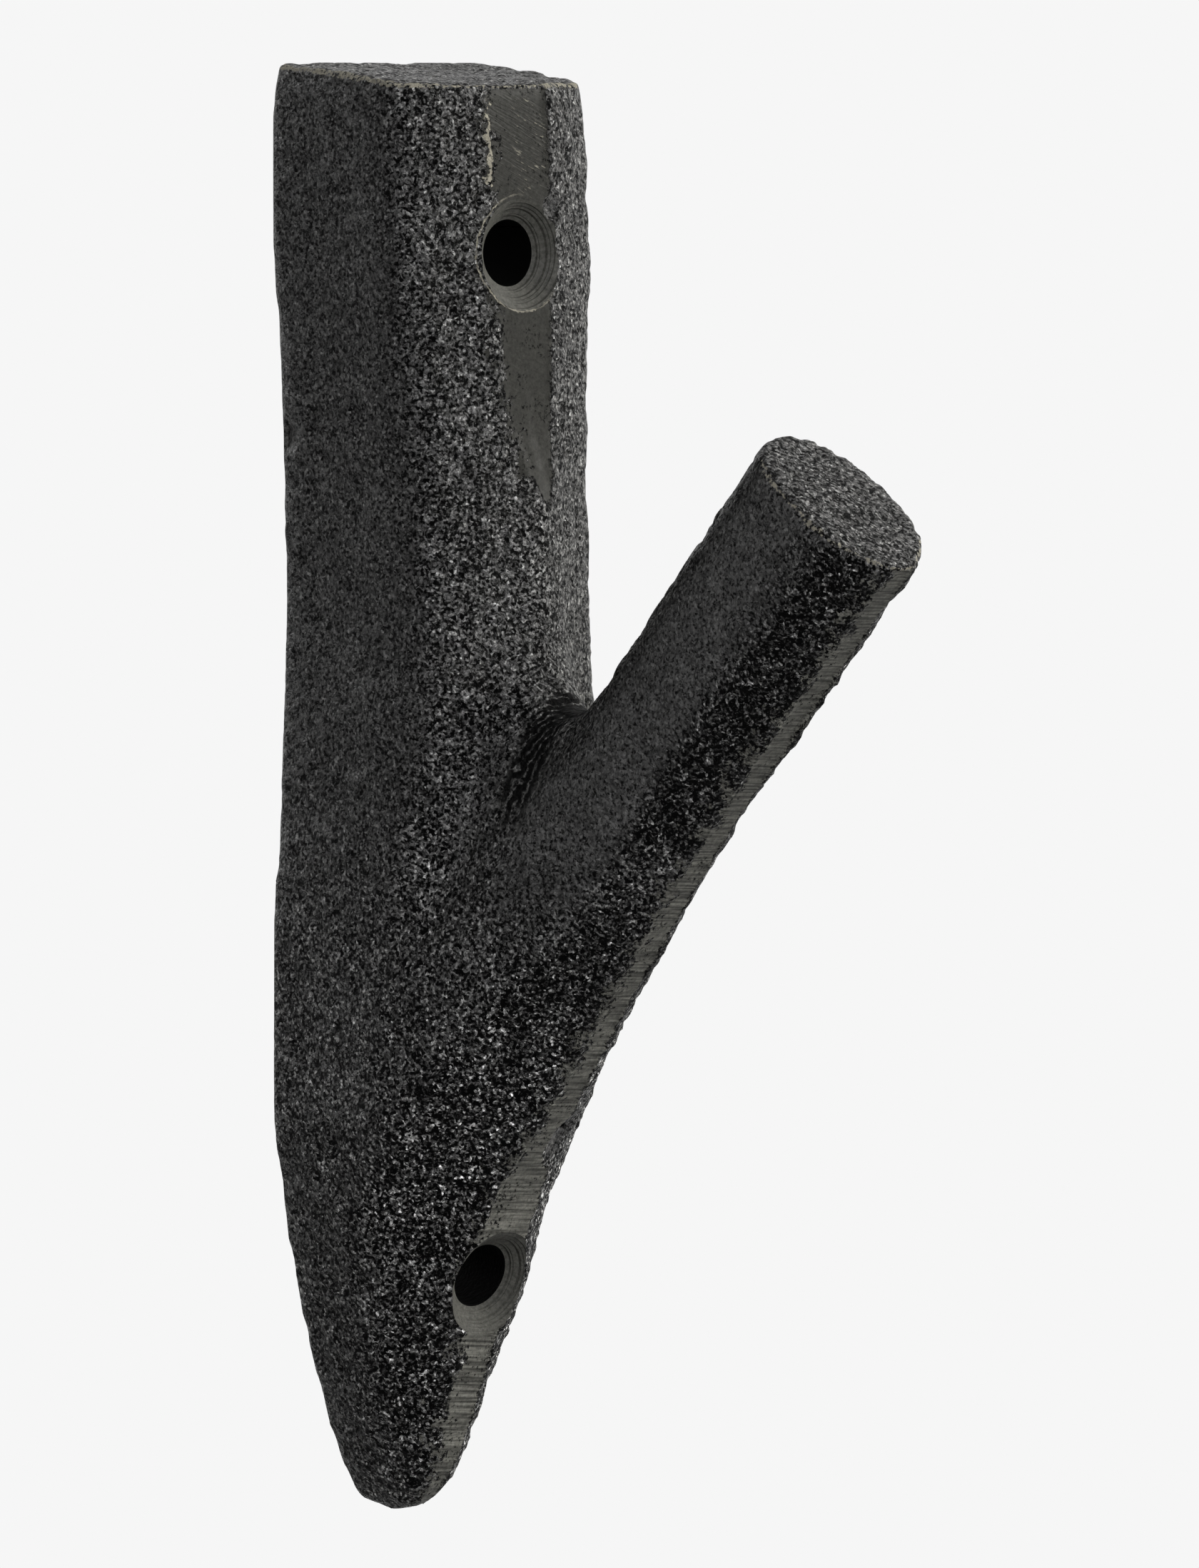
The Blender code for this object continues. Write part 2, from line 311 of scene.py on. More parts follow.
def seam_half_width(co, normal, settings):
    """Half width of the strip ground flat where the halves of the mould met, or below 0 off it."""
    top, peg, foot = settings.seam_top, settings.seam_peg, settings.seam_foot
    if normal.y > -0.35:
        return OFF_SEAM
    if co.z > UPPER_STRIP_Z and co.y > PEG_ROOT_Y and normal.z > -0.12:
        if normal.z > 0.8:
            return OFF_SEAM
        return along(
            co.z / MM, (50.0, top), (38.0, 0.86 * top), (32.0, 0.74 * top), (26.0, 0.36 * top),
            (21.0, -0.3 * top))
    if normal.z > -0.12:
        return OFF_SEAM
    return along(
        co.z / MM, (-28.0, peg), (-33.0, 1.5 * peg), (-38.0, foot), (-47.0, foot), (-52.0, 0.62 * foot),
        (-60.0, 0.55 * foot), (-66.0, 0.2 * foot))


def seam_middle(co):
    """How far the strip's middle stands to the right: its upper part runs out along its right edge."""
    if co.z < UPPER_STRIP_Z or co.y < PEG_ROOT_Y:
        return 0.0
    return along(co.z / MM, (36.0, 0.0), (30.0, 0.5), (26.0, 1.3), (21.0, 2.2)) * MM


def grind_seam(bm, settings):
    """Flattens the seam strip between its two edges, and keeps how far inside it each vertex lies."""
    seam = bm.verts.layers.float.new("seam")
    body = BVHTree.FromBMesh(bm)
    inside = []
    for vert in bm.verts:
        half = seam_half_width(vert.co, vert.normal, settings)
        middle = seam_middle(vert.co)
        off = abs(vert.co.x - middle)
        edge = middle + math.copysign(half, vert.co.x - middle)
        if half > 0.4 * MM and abs(off - half) < settings.grid / 2:
            vert.co.x = edge
            off = half
        vert[seam] = max(-5.0, (half - off) / MM)
        if vert[seam] >= 0.0 and half > 0.0:
            inside.append((vert, edge))
    moves = []
    for vert, edge in inside:
        out = Vector((0.0, vert.normal.y, vert.normal.z)).normalized()
        start = Vector((edge, vert.co.y, vert.co.z)) + out * 3.0 * MM
        hit = body.ray_cast(start, -out, 6.0 * MM)[0]
        if hit is not None:
            moves.append((vert, out * (hit - vert.co).dot(out)))
    for vert, move in moves:
        vert.co += move
    bm.normal_update()


def crotch_hollow(co):
    """1 at the root of the crotch, falling off to 0 away from it and down its two sides."""
    point = Vector((abs(co.x), co.y, co.z))
    line = CROTCH_SIDE - CROTCH
    share = min(1.0, max(0.0, (point - CROTCH).dot(line) / line.length_squared))
    off = (point - CROTCH - line * share).length / MM
    return (1.0 - 0.60 * share) * math.exp(-(off / 3.0) ** 2)


def ridge_share(co, normal):
    """1 on the crest of the ridge down the front, falling straight off to both sides."""
    if normal.y > -0.4 or co.y < PEG_ROOT_Y:
        return 0.0
    z = co.z / MM
    slope = max(0.0, 1.0 - abs(co.x - RIDGE_X) / RIDGE_HALF_WIDTH)
    return slope * ramp(z, 4.0, 8.0) * (1.0 - ramp(z, 21.0, 31.0))


def dent_depth(co):
    """Depth of the low spots."""
    depth = 0.0
    for middle, reach, deepest in DENTS:
        arm = co - middle
        far = sum((a / r) ** 2 for a, r in zip(arm, reach))
        if far < 1.0:
            depth = max(depth, deepest * (1.0 - far) ** 1.5)
    return depth


def coarseness(co, normal):
    """How coarse the sand printed: 0 on the smooth sides of the peg, 1 on the lower stem and under the peg."""
    x, y, z = co / MM
    low = 1.0 - ramp(z, -22.0, 2.0)
    side = ramp(abs(normal.x), 0.70, 0.98)
    down = ramp(-normal.z, 0.10, 0.35)
    on_peg = ramp(-y - 0.25 * min(0.0, z), 22.0, 25.5) * ramp(z, -17.0, -4.0)
    amount = 0.75 + 0.25 * low
    amount += (0.45 + 0.40 * low - amount) * side
    # The smooth side ends on a line below the middle of the peg.
    border = 10.5 + 1.24 * (-y - 51.4)
    up = 0.777 * normal.y + 0.63 * normal.z
    root = 27.0 + 0.95 * max(0.0, z) + 0.15 * min(0.0, z)
    smooth = on_peg * ramp(-y - root, -0.7, 0.7) * ramp(z - border, -0.7, 0.7)
    smooth *= ramp(abs(normal.x), 0.3, 0.6) * (1.0 - ramp(up, 0.25, 0.5))
    amount += (0.06 - amount) * smooth
    return max(amount, down * on_peg * (1.0 - smooth))


def cast_height(co, coarse, settings):
    """Height of the cast skin: swells, lumps, and grain that is pitted above and lumpy below."""
    swell = settings.swell_height * noise.noise(co / settings.swell_size)
    lump = settings.lump_height * noise.noise(co / settings.lump_size + Vector((7.3, 1.1, 4.9)))
    place = co / settings.grain_size
    grain = noise.noise(place) + 0.55 * noise.noise(place * 1.9 + Vector((3.1, 8.7, 5.2)))
    pitted = min(grain, 0.12 + 0.25 * (grain - 0.12))
    lumpy = max(grain, -0.12 + 0.25 * (grain + 0.12))
    grain = pitted + (lumpy - pitted) * ramp(coarse, 0.8, 0.98)
    broad = (0.6 + 0.4 * coarse) * (swell + lump)
    return settings.coat + broad + (0.15 + 0.85 * coarse) * settings.grain_height * grain


def raise_skin(bm, settings):
    """Moves the mesh by the cast height, except on the ground seam and the face on the wall."""
    seam = bm.verts.layers.float["seam"]
    coarse = bm.verts.layers.float.new("coarse")
    hollow = bm.verts.layers.float.new("hollow")
    moves = []
    for vert in bm.verts:
        dent = dent_depth(vert.co)
        if dent > 0.0:
            vert[seam] = min(vert[seam], 0.3 - 6.0 * dent / MM)
        vert[hollow] = crotch_hollow(vert.co)
        vert[coarse] = coarseness(vert.co, vert.normal) * (1.0 - min(0.8, 1.2 * dent / MM))
        free = ramp(-vert.co.y / MM, 0.15, 0.9)
        skin = (1.0 - 0.94 * ramp(vert[seam], -0.15, 0.2)) * cast_height(vert.co, vert[coarse], settings)
        ridge = settings.ridge_height * ridge_share(vert.co, vert.normal)
        move = free * (skin + ridge - dent - settings.crotch_depth * vert[hollow])
        moves.append((vert, vert.normal * move))
    for vert, move in moves:
        vert.co += move


def screw_cutter(name, front, out, settings):
    """A drill and countersink as one turned cutter, whose cone carries the steps that its lips leave."""
    bore, sink = settings.bore / 2, settings.countersink / 2
    bm = bmesh.new()
    deep = sink - bore
    profile = [(0.0, -DRILL_DEPTH), (bore, -DRILL_DEPTH), (bore, -deep)]
    shares = [(i + 0.30 * math.sin(2.4 * i)) / settings.rings for i in range(settings.rings)]
    shares.append(1.0)
    for low, high in zip(shares, shares[1:]):
        step = high - low
        profile.append((bore + deep * (low + 0.86 * step), deep * (low + 0.50 * step - 1.0)))
        profile.append((bore + deep * high, deep * (high - 1.0)))
    profile += [(sink + CUTTER_OVERRUN, CUTTER_OVERRUN), (0.0, CUTTER_OVERRUN)]
    verts = [bm.verts.new((r, 0.0, z)) for r, z in profile]
    edges = [bm.edges.new(pair) for pair in zip(verts, verts[1:])]
    bmesh.ops.spin(
        bm, geom=verts + edges, cent=(0, 0, 0), axis=(0, 0, 1), angle=math.tau, steps=96, use_merge=True)
    bmesh.ops.remove_doubles(bm, verts=bm.verts, dist=GRID_WELD)
    bmesh.ops.recalc_face_normals(bm, faces=bm.faces)
    turn = out.to_track_quat("Z", "Y").to_matrix().to_4x4()
    bmesh.ops.transform(bm, matrix=Matrix.Translation(front) @ turn, verts=bm.verts)
    return object_from(bm, name)


def cut(casting, cutters, marker):
    """Takes the cutters out of the casting. The faces that they leave carry the marker material."""
    for cutter in cutters:
        cutter.data.materials.append(marker)
        boolean = casting.modifiers.new(cutter.name, "BOOLEAN")
        boolean.operation = "DIFFERENCE"
        boolean.solver = "EXACT"
        boolean.material_mode = "TRANSFER"
        boolean.object = cutter
    applied(casting)
    for cutter in cutters:
        remove(cutter)


def note_holes(bm, settings):
    """Keeps which faces a cutter left: 1 in a countersink, 2 in a bore. Their borders stay sharp."""
    bored = bm.faces.layers.float.new("bored")
    for face in bm.faces:
        face.smooth = True
        if face.material_index:
            centre = face.calc_center_median()
            nearest = min(from_screw(centre, front, out) for front, out in SCREWS)
            face[bored] = 2.0 if nearest < settings.bore / 2 + 0.02 * MM else 1.0
    for edge in bm.edges:
        faces = edge.link_faces
        if len(faces) == 2 and any(face.material_index for face in faces):
            edge.smooth = edge.calc_face_angle() < 0.25
    # A rim vertex takes its values from the cast skin beside it.
    layers = [bm.verts.layers.float[name] for name in ("seam", "coarse", "hollow", "corner")]
    for vert in bm.verts:
        if len({face.material_index for face in vert.link_faces}) > 1:
            beside = [edge.other_vert(vert) for edge in vert.link_edges]
            beside = [v for v in beside if not any(face.material_index for face in v.link_faces)]
            for layer in layers:
                vert[layer] = sum(v[layer] for v in beside) / len(beside) if beside else 0.0
    for face in bm.faces:
        face.material_index = 0


def note_chips(bm):
    """Keeps where knocks took paint off the corners, most at the top, the peg's end and the wall edge."""
    chip = bm.verts.layers.float.new("chip")
    corner = bm.verts.layers.float["corner"]
    for vert in bm.verts:
        share, low, high = 0.55, 0.35, 1.20
        if vert.co.y < -50.0 * MM and vert.normal.z < 0.75:
            share, low, high = 0.74, 0.30, 0.80
        elif vert.co.z > 61.0 * MM:
            share, low, high = 0.80, 0.22, 0.60
        elif vert.co.y > -3.0 * MM:
            share, low, high = 0.68, 0.22, 0.60
        vert[chip] = share * ramp(vert[corner], low, high)


class HOOK_OT_make_casting(Operator):
    """Make the cast hook with its skin, seam, screw holes and paint"""

    bl_idname = "wall_hook.make_casting"
    bl_label = "Make Casting"
    bl_options = {"REGISTER", "UNDO"}

    def execute(self, context):
        settings = context.scene.hook_casting
        casting = plain_casting(settings)
        bm = bmesh.new()
        bm.from_mesh(casting.data)
        ease(bm, settings.ease_passes)
        note_corners(bm)
        grind_seam(bm, settings)
        raise_skin(bm, settings)
        low, high = (Vector(corner) for corner in CAD_BOX)
        for vert in bm.verts:
            vert.co = Vector(min(max(c, a), b) for c, a, b in zip(vert.co, low, high))
        bm.to_mesh(casting.data)
        bm.free()

        paint = painted_iron(context.scene.hook_paint)
        marker = bpy.data.materials.new("cutter_marker")
        casting.data.materials.append(paint)
        cutters = [
            screw_cutter(f"screw_cutter_{i}", front, out, settings)
            for i, (front, out) in enumerate(SCREWS)]
        cut(casting, cutters, marker)

        bm = bmesh.new()
        bm.from_mesh(casting.data)
        bmesh.ops.dissolve_degenerate(bm, dist=1e-7, edges=bm.edges)
        bmesh.ops.triangulate(bm, faces=[face for face in bm.faces if len(face.verts) > 4])
        bm.normal_update()
        note_holes(bm, settings)
        note_chips(bm)
        triangles = sum(len(face.verts) - 2 for face in bm.faces)
        bm.to_mesh(casting.data)
        bm.free()
        casting.data.materials.clear()
        casting.data.materials.append(paint)
        bpy.data.materials.remove(marker)
        if not 20_000 < triangles < 200_000:
            raise RuntimeError(f"the casting has {triangles} triangles")
        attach(casting, "root")
        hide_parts(CASTING_NODE)
        print("casting triangles", triangles)
        return {"FINISHED"}


# Paint


class Nodes:
    """Short calls for laying out a material's nodes."""

    def __init__(self, tree):
        self.tree = tree

    def add(self, kind, **settings):
        node = self.tree.nodes.new(kind)
        for name, value in settings.items():
            setattr(node, name, value)
        return node

    def link(self, source, target):
        self.tree.links.new(source, target)

    def put(self, node, name, value):
        """Sets a socket, or links an output to it."""
        socket = node.inputs[name]
        if isinstance(value, bpy.types.NodeSocket):
            self.link(value, socket)
        else:
            socket.default_value = value

    def maths(self, operation, *values, clamp=False):
        node = self.add("ShaderNodeMath", operation=operation, use_clamp=clamp)
        for i, value in enumerate(values):
            self.put(node, i, value)
        return node.outputs[0]

    def total(self, *values):
        result = values[0]
        for value in values[1:]:
            result = self.maths("ADD", result, value)
        return result

    def times(self, *values):
        result = values[0]
        for value in values[1:]:
            result = self.maths("MULTIPLY", result, value)
        return result

    def vector(self, operation, *values):
        node = self.add("ShaderNodeVectorMath", operation=operation)
        for i, value in enumerate(values):
            self.put(node, i, value)
        return node.outputs["Value" if operation in ("DOT_PRODUCT", "LENGTH", "DISTANCE") else "Vector"]

    def span(self, value, low, high, to_low=0.0, to_high=1.0, smooth=True):
        node = self.add("ShaderNodeMapRange", interpolation_type="SMOOTHSTEP" if smooth else "LINEAR")
        self.put(node, "Value", value)
        self.put(node, "From Min", low)
        self.put(node, "From Max", high)
        self.put(node, "To Min", to_low)
        self.put(node, "To Max", to_high)
        return node.outputs[0]

    def blend(self, share, first, second):
        node = self.add("ShaderNodeMix", data_type="RGBA")
        self.put(node, 0, share)
        self.put(node, 6, first)
        self.put(node, 7, second)
        return node.outputs[2]

    def mix(self, share, first, second):
        node = self.add("ShaderNodeMix", data_type="FLOAT")
        self.put(node, 0, share)
        self.put(node, 2, first)
        self.put(node, 3, second)
        return node.outputs[0]

    def noise(self, place, size, detail=2.0, rough=0.5, stretch=None):
        """Noise with features of a given size in metres, turned and stretched if asked."""
        node = self.add("ShaderNodeTexNoise")
        if stretch:
            mapping = self.add("ShaderNodeMapping", vector_type="TEXTURE")
            self.link(place, mapping.inputs["Vector"])
            mapping.inputs["Rotation"].default_value = stretch[0]
            mapping.inputs["Scale"].default_value = stretch[1]
            place = mapping.outputs[0]
        self.link(place, node.inputs["Vector"])
        self.put(node, "Scale", 1.0 / size)
        self.put(node, "Detail", detail)
        self.put(node, "Roughness", rough)
        return node

    def grain(self, place, size, detail=2.0, rough=0.5, stretch=None):
        return self.noise(place, size, detail, rough, stretch).outputs[0]

    def sand(self, place, size):
        """Grains of a given size: distance from the border, tilted top in millimetres, and a tint."""
        border = self.add("ShaderNodeTexVoronoi", feature="DISTANCE_TO_EDGE")
        cell = self.add("ShaderNodeTexVoronoi", feature="F1")
        for node in (border, cell):
            self.link(place, node.inputs["Vector"])
            self.put(node, "Scale", 1.0 / size)
        lean = self.vector("SUBTRACT", cell.outputs["Color"], (0.5, 0.5, 0.5))
        arm = self.vector("SUBTRACT", place, cell.outputs["Position"])
        tilt = self.times(self.vector("DOT_PRODUCT", lean, arm), 1.0 / MM)
        tint = self.add("ShaderNodeSeparateColor")
        self.link(cell.outputs["Color"], tint.inputs[0])
        return border.outputs["Distance"], tilt, tint.outputs[0]

    def scaled(self, vector, factor):
        """A vector or a colour times a plain value."""
        node = self.add("ShaderNodeVectorMath", operation="SCALE")
        self.put(node, 0, vector)
        self.put(node, "Scale", factor)
        return node.outputs[0]

    def attribute(self, name):
        node = self.add("ShaderNodeAttribute", attribute_name=name)
        return node.outputs["Fac"]


def rgba(colour):
    return (*colour, 1.0)


def grey(value):
    return (value, value, value, 1.0)


# Radius of the painted highlight round the upper countersink's rim, and the middle of the crotch's creases.
RIM_HIGHLIGHT_RADIUS = 5.22 * MM
FAN_Y = -30.0 * MM
FAN_Z = 8.0 * MM


def paint_places(nodes):
    """Places on the hook and values that the mesh carries, which all parts of the paint go by."""
    on = SimpleNamespace()
    on.place = nodes.add("ShaderNodeTexCoord").outputs["Object"]
    axes = nodes.add("ShaderNodeSeparateXYZ")
    nodes.link(on.place, axes.inputs[0])
    on.x, on.y, on.z = axes.outputs
    on.coarse = nodes.attribute("coarse")
    on.hollow = nodes.attribute("hollow")
    on.scaly = nodes.span(on.coarse, 0.82, 1.0)
    # The facet right of the ridge, and the front above the peg.
    on.far = nodes.times(nodes.span(on.x, 1.0 * MM, 3.0 * MM), nodes.span(on.z, 4.0 * MM, 8.0 * MM))
    above = nodes.span(on.z, 10.0 * MM, 12.0 * MM)
    on.at_top = nodes.times(above, nodes.span(on.y, -32.0 * MM, -28.0 * MM))
    return on


def sand_print(nodes, on):
    """Tilted facets of two sizes, with pits where the sand stood out of the mould."""
    sway = nodes.noise(on.place, 0.7 * MM, detail=2.0).outputs["Color"]
    sway = nodes.vector("SUBTRACT", sway, (0.5, 0.5, 0.5))
    on.warped = nodes.vector("ADD", on.place, nodes.scaled(sway, 0.4 * MM))
    on.border, on.tilt, on.tint = nodes.sand(on.warped, 0.46 * MM)
    on.small_tilt, on.small_tint = nodes.sand(on.warped, 0.25 * MM)[1:]
    on.skin = nodes.grain(on.warped, 0.38 * MM, detail=3.0, rough=0.75)
    level = nodes.span(on.coarse, 0.0, 0.8, 0.43, 0.42, smooth=False)
    level = nodes.total(level, nodes.times(on.far, -0.05))
    on.pit = nodes.span(nodes.maths("SUBTRACT", on.skin, level), -0.05, 0.02, 1.0, 0.0)


def grain_tone_and_painted_shading(nodes, on):
    """Random tone of the grain with painted light on its tops and painted shade in its dips and pits, and
    painted shade on the scaly faces under the peg, as a power of e.
    """
    tone_and_shading = nodes.total(
        nodes.times(nodes.maths("SUBTRACT", on.skin, 0.5), 9.0),
        nodes.times(nodes.maths("SUBTRACT", on.small_tint, 0.5), 4.0),
        nodes.times(nodes.maths("SUBTRACT", on.tint, 0.5), 1.2))
    # Painted shade in the dips goes darker than the painted light on the tops goes light.
    tone_and_shading = nodes.total(nodes.times(tone_and_shading, 1.05), nodes.times(nodes.maths("ABSOLUTE", tone_and_shading), -0.28))
    contrast = nodes.total(
        nodes.span(on.coarse, 0.0, 0.45, 0.36, 0.72, smooth=False),
        nodes.span(on.coarse, 0.45, 1.0, 0.0, 0.60, smooth=False),
        nodes.times(on.far, -0.10),
        nodes.times(on.scaly, 0.40))
    # Painted shade: the scaly faces on the lower stem and under the peg are made darker, most under the peg.
    shade_under_peg = nodes.span(on.y, -34.0 * MM, -27.0 * MM, -1.45, -0.72)
    return nodes.total(
        nodes.times(tone_and_shading, contrast), nodes.times(on.pit, -1.6), nodes.times(on.scaly, shade_under_peg))


def ground_seam(nodes, on):
    """Where the seam was ground. The wheel took the tops of the grain first, so its left edge is ragged."""
    bite = nodes.span(on.x, -0.5 * MM, 0.5 * MM, 7.0, 1.5)
    ragged = nodes.span(on.x, -0.5 * MM, 0.5 * MM, 9.0, 0.5)
    tatter = nodes.maths("SUBTRACT", nodes.grain(on.place, 1.8 * MM, detail=4.0, rough=0.6), 0.5)
    on.inside = nodes.total(
        nodes.attribute("seam"),
        nodes.times(bite, nodes.maths("SUBTRACT", on.skin, 0.5)),
        nodes.times(ragged, tatter))
    bored = nodes.attribute("bored")
    on.turned = nodes.span(bored, 0.4, 0.6)
    on.bore = nodes.span(bored, 1.4, 1.6)
    on.seam = nodes.maths("MAXIMUM", nodes.span(on.inside, -0.10, 0.10), on.turned)


def grinding_scratches(nodes, on):
    """Scratches lie across the seam below the peg, and slant near the top."""
    lying = ((0.0, math.radians(4.0), 0.0), (30.0, 1.0, 1.0))
    slanting = ((0.0, math.radians(24.0), 0.0), (12.0, 1.0, 1.0))
    on.across = nodes.grain(on.place, 0.24 * MM, detail=2.0, stretch=lying)
    on.slant = nodes.grain(on.place, 0.18 * MM, detail=2.0, stretch=slanting)
    on.scratch = nodes.mix(on.at_top, on.across, on.slant)
    top_depth = nodes.span(on.z, 49.0 * MM, 56.0 * MM, 0.12, 0.6)
    on.scratch_depth = nodes.mix(on.at_top, 1.0, top_depth)


def bare_dashes(nodes, on):
    """Short slanting dashes where the wheel went through near the top."""
    return nodes.times(
        nodes.span(on.slant, 0.60, 0.64),
        nodes.span(on.z, 50.0 * MM, 54.0 * MM),
        nodes.span(on.x, -1.2 * MM, 0.5 * MM),
        nodes.span(nodes.grain(on.place, 0.7 * MM), 0.52, 0.58),
        nodes.span(on.inside, 0.0, 0.2))


def chipped_edge(nodes, on):
    """The left edge of the seam, from the top down to the upper screw."""
    wander = nodes.grain(on.place, 1.4 * MM, detail=3.0)
    ragged_x = nodes.total(on.x, nodes.span(wander, 0.3, 0.7, 3.2 * MM, 4.1 * MM, smooth=False))
    return nodes.times(
        nodes.span(nodes.maths("ABSOLUTE", ragged_x), 0.15 * MM, 0.75 * MM, 1.0, 0.0),
        nodes.span(on.z, 50.5 * MM, 53.0 * MM),
        nodes.span(on.z, 56.0 * MM, 62.5 * MM, 1.0, 0.45),
        nodes.span(on.y, -15.0 * MM, -14.0 * MM, 1.0, 0.0))


def rim_highlight(nodes, on, knock):
    """Painted highlight: a thin broken pale line round the left and lower sides of the upper countersink's
    rim, in the chip colour.
    """
    up = nodes.maths("SUBTRACT", on.z, SCREWS[0][0].z)
    reach = nodes.maths("SQRT", nodes.total(nodes.times(on.x, on.x), nodes.times(up, up)))
    wander = nodes.span(knock, 0.3, 0.7, -0.10 * MM, 0.10 * MM, smooth=False)
    off_rim = nodes.maths("ABSOLUTE", nodes.total(reach, -RIM_HIGHLIGHT_RADIUS, wander))
    left = nodes.span(on.x, -4.2 * MM, 0.8 * MM, 1.0, 0.0)
    lower = nodes.span(up, -5.2 * MM, -3.0 * MM, 0.75, 0.0)
    return nodes.times(
        nodes.span(off_rim, 0.04 * MM, 0.11 * MM, 1.0, 0.0),
        nodes.maths("MAXIMUM", left, lower),
        nodes.span(on.y, -19.0 * MM, -18.0 * MM, 1.0, 0.0),
        nodes.span(nodes.grain(on.place, 0.9 * MM, detail=2.0), 0.36, 0.56, 0.25, 1.0))


def bare_chips_and_rim_highlight(nodes, on):
    """Bare metal, sparse on corners and thick along one edge of the seam, and a painted highlight round the
    rim of the upper screw.
    """
    knock = nodes.grain(on.place, 0.38 * MM, detail=3.0, rough=0.65)
    edge = nodes.times(chipped_edge(nodes, on), 0.84)
    worn = nodes.maths("MAXIMUM", nodes.attribute("chip"), edge)
    chips_and_rim_highlight = nodes.span(nodes.total(knock, nodes.times(worn, 0.55)), 0.86, 0.94)
    chips_and_rim_highlight = nodes.maths("MAXIMUM", chips_and_rim_highlight, rim_highlight(nodes, on, knock))
    return nodes.maths("MAXIMUM", chips_and_rim_highlight, nodes.times(bare_dashes(nodes, on), 0.5))


def crotch_painted_shade(nodes, on):
    """Painted shade in the crotch, broken by lighter creases that fan out down its sides."""
    above = nodes.maths("SUBTRACT", on.z, FAN_Z)
    behind = nodes.maths("SUBTRACT", on.y, FAN_Y)
    turn = nodes.times(nodes.maths("ARCTAN2", above, behind), 44.0)
    sway = nodes.times(nodes.grain(on.place, 1.6 * MM, detail=2.0), 14.0)
    on.fan = nodes.maths("SINE", nodes.total(turn, sway))
    on.in_crotch = nodes.span(on.hollow, 0.08, 0.42)
    crease = nodes.times(nodes.span(on.fan, 0.2, 0.95), nodes.span(on.hollow, 0.35, 0.95, 0.55, 0.05))
    return nodes.times(on.in_crotch, nodes.maths("SUBTRACT", 0.97, crease))


def painted_shade_places(nodes, on, light):
    """Painted shade in black: the pits and darkest dips of the grain, blowholes in the seam, the crotch and
    the bores.
    """
    blown = nodes.span(nodes.grain(on.place, 3.0 * MM), 0.50, 0.58)
    not_turned = nodes.maths("SUBTRACT", 1.0, on.turned)
    blowhole = nodes.times(nodes.span(on.skin, 0.38, 0.42, 1.0, 0.0), blown, not_turned)
    shade_black = nodes.mix(on.seam, nodes.span(light, -1.9, -0.5, 1.0, 0.0), blowhole)
    shade_black = nodes.maths("MAXIMUM", shade_black, crotch_painted_shade(nodes, on))
    return nodes.maths("MAXIMUM", shade_black, on.bore)


def pale_crest_line(nodes, on):
    """A thin pale ragged line along the crest of the ridge down the upper front, where the ground seam has run
    out.
    """
    wander = nodes.grain(on.place, 1.3 * MM, detail=3.0)
    wander = nodes.span(wander, 0.3, 0.7, -0.45 * MM, 0.45 * MM, smooth=False)
    off = nodes.maths("ABSOLUTE", nodes.total(on.x, -RIDGE_X, wander))
    return nodes.times(
        nodes.span(off, 0.05 * MM, 0.22 * MM, 1.0, 0.0),
        nodes.span(on.z, 6.0 * MM, 9.0 * MM),
        nodes.span(on.z, 22.0 * MM, 28.0 * MM, 1.0, 0.0),
        nodes.span(on.skin, 0.40, 0.55))


def cast_colour(nodes, on, light, paint):
    """Paint on the cast faces, times the painted light and shade of the grain, with a painted sheen on the
    smooth peg, painted highlights on the rims of the grains right of the ridge, and the pale crest line.
    """
    patchy = nodes.grain(on.place, 6.0 * MM, detail=3.0)
    # Painted sheen: the smooth sides of the peg are made lighter.
    shade = nodes.times(
        nodes.maths("EXPONENT", light),
        nodes.span(patchy, 0.3, 0.7, 0.9, 1.1, smooth=False),
        nodes.span(on.coarse, 0.05, 0.30, 1.65, 1.0))
    # Painted highlight on the rims of the grains on the facet right of the ridge, which faces the key lamp.
    rims = nodes.times(nodes.span(on.border, 0.02, 0.14, 0.5, -0.1), on.far)
    return nodes.scaled(paint, nodes.total(shade, rims, nodes.times(pale_crest_line(nodes, on), 2.2)))


def ground_colour(nodes, on, ground):
    """Thin paint on the ground seam, worn along the scratches and in the countersinks; below the peg the whole
    seam is also made lighter as painted light where it faces down.
    """
    lines = nodes.times(nodes.span(on.scratch, 0.56, 0.72), on.scratch_depth)
    # Painted light and wear: the seam below the peg is lighter overall, and lightest on its scratch lines.
    lower = nodes.span(on.across, 0.36, 0.64, 1.6, 6.2, smooth=False)
    worn = nodes.mix(on.at_top, lower, nodes.mix(lines, 1.0, 2.2))
    worn = nodes.mix(on.turned, worn, nodes.mix(on.at_top, 2.6, 2.5))
    worn = nodes.times(worn, nodes.span(on.skin, 0.3, 0.7, 0.55, 1.45, smooth=False))
    return nodes.scaled(ground, worn)


def paint_roughness(nodes, on, shade_black, chips_and_rim_highlight):
    rough = nodes.span(on.small_tint, 0.0, 1.0, 0.20, 0.40, smooth=False)
    rough = nodes.mix(on.seam, rough, nodes.span(on.scratch, 0.3, 0.7, 0.42, 0.50, smooth=False))
    rough = nodes.mix(shade_black, rough, 0.75)
    return nodes.mix(chips_and_rim_highlight, rough, 0.7)


